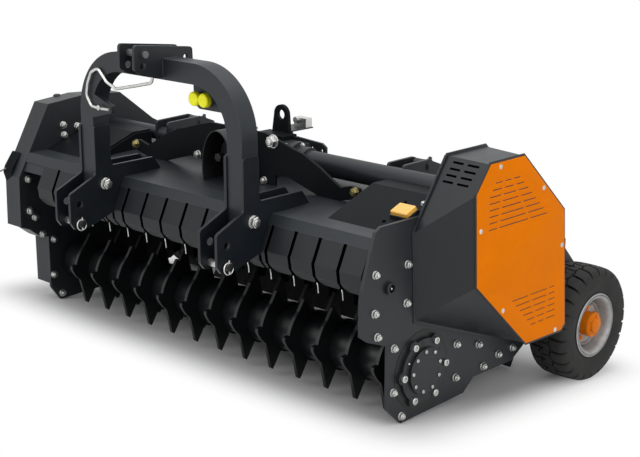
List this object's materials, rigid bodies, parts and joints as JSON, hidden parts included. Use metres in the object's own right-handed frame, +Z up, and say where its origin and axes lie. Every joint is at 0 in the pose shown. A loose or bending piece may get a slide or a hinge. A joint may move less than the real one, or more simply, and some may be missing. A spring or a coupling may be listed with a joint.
{
  "type": "tractor mulcher",
  "caption": "Three-point mulcher with a tined feed rotor, hammer rotor, side drive housing, rear door and two height-adjustable wheels.",
  "frame": {"origin": "middle of the machine's footprint, on the ground it is parked on", "axes": "+X along the rotors towards the drive housing, -Y towards the tractor, +Z up"},
  "size_m": [2.396, 1.6362, 1.2457],
  "materials": {
    "black_steel": "satin anthracite paint",
    "bright_steel": "zinc plated",
    "chrome_rod": "ground and chromed",
    "flap_steel": "worn satin anthracite",
    "grey_steel": "satin grey paint",
    "guard_plastic": "matt black",
    "hitch_black": "near-black satin paint",
    "lamp_amber": "amber lens",
    "orange_hub": "satin orange paint",
    "orange_panel": "gloss orange paint",
    "rim_silver": "silver paint",
    "rotor_steel": "satin black paint",
    "tyre": "matt black rubber",
    "yellow_cap": "yellow cap"
  },
  "bodies": {
    "frame": {"amber_lamp": "lamp_amber", "back_plate": "black_steel", "coupler_bodies": "bright_steel", "coupler_caps": "yellow_cap", "coupler_plate": "black_steel", "cylinder_lugs": "black_steel", "cylinder_pins": "bright_steel", "door_hinge_pin": "bright_steel", "drive_cover": "black_steel", "drive_cover_panel": "orange_panel", "drive_tubes": "grey_steel", "feed_bearing": "black_steel", "front_beam": "grey_steel", "front_flaps": "flap_steel", "gearbox": "black_steel", "gearbox_arms": "black_steel", "headstock_arch": "grey_steel", "hitch_plates": "hitch_black", "hood_sheet": "black_steel", "hook_lug": "black_steel", "lamp_base": "black_steel", "left_cover": "black_steel", "lifting_eye": "black_steel", "lower_pins": "bright_steel", "pto_guard": "guard_plastic", "ramps": "black_steel", "shaft_hook": "bright_steel", "side_plate_left": "black_steel", "side_plate_right": "black_steel", "top_link_bracket": "black_steel", "top_link_pin": "bright_steel", "valve_block": "bright_steel", "valve_bracket": "black_steel", "wheel_bracket_left": "black_steel", "wheel_bracket_right": "black_steel"},
    "main_rotor": {"main_rotor_drum": "rotor_steel", "main_rotor_hammers": "rotor_steel"},
    "feed_rotor": {"feed_rotor_drum": "rotor_steel", "feed_rotor_teeth": "rotor_steel"},
    "pto_shaft": {"pto_stub": "bright_steel"},
    "leg_left": {"wheel_leg_left": "grey_steel", "stub_axle_left": "bright_steel"},
    "leg_right": {"wheel_leg_right": "grey_steel", "stub_axle_right": "bright_steel"},
    "wheel_left": {"tyre_left": "tyre", "rim_left": "rim_silver", "hub_left": "orange_hub"},
    "wheel_right": {"tyre_right": "tyre", "rim_right": "rim_silver", "hub_right": "orange_hub"},
    "door": {"rear_door": "black_steel", "door_pins": "bright_steel"},
    "door_barrels": {"door_cylinder_barrels": "black_steel"},
    "door_rods": {"door_cylinder_rods": "chrome_rod"}
  },
  "joints": [
    {"name": "main_rotor_spin", "type": "hinge", "parent": "frame", "child": "main_rotor", "pos_m": [0, 0.14607, 0.39144], "axis": [1, 0, 0], "continuous": true},
    {"name": "feed_rotor_spin", "type": "hinge", "parent": "frame", "child": "feed_rotor", "pos_m": [0, -0.25552, 0.17889], "axis": [1, 0, 0], "continuous": true},
    {"name": "pto_spin", "type": "hinge", "parent": "frame", "child": "pto_shaft", "pos_m": [0.028, -0.06318, 0.81831], "axis": [0, -0.9977, -0.0674], "continuous": true},
    {"name": "leg_left_slide", "type": "slide", "parent": "frame", "child": "leg_left", "axis": [0, -0.0674, 0.9977], "range_m": [-0.1, 0.1]},
    {"name": "leg_right_slide", "type": "slide", "parent": "frame", "child": "leg_right", "axis": [0, -0.0674, 0.9977], "range_m": [-0.1, 0.1]},
    {"name": "wheel_left_spin", "type": "hinge", "parent": "leg_left", "child": "wheel_left", "pos_m": [-1.1, 0.59009, 0.228], "axis": [1, 0, 0], "continuous": true},
    {"name": "wheel_right_spin", "type": "hinge", "parent": "leg_right", "child": "wheel_right", "pos_m": [1.1, 0.59009, 0.228], "axis": [1, 0, 0], "continuous": true},
    {"name": "door_hinge", "type": "hinge", "parent": "frame", "child": "door", "pos_m": [0, 0.40606, 0.65256], "axis": [1, 0, 0], "range_deg": [0, 50]},
    {"name": "door_cylinder_pivot", "type": "hinge", "parent": "frame", "child": "door_barrels", "pos_m": [0, 0.09359, 0.8269], "axis": [1, 0, 0], "range_deg": [-3.06, 0]},
    {"name": "door_cylinder_stroke", "type": "slide", "parent": "door_barrels", "child": "door_rods", "axis": [0, 0.9374, -0.3482], "range_m": [-0.04354, 0]}
  ],
  "couplings": [
    {"joint": "pto_spin", "follows": "main_rotor_spin", "ratio": -0.5263},
    {"joint": "door_cylinder_pivot", "follows": "door_hinge", "ratio": -0.06},
    {"joint": "door_cylinder_stroke", "follows": "door_hinge", "m_per_rad": -0.04891}
  ]
}
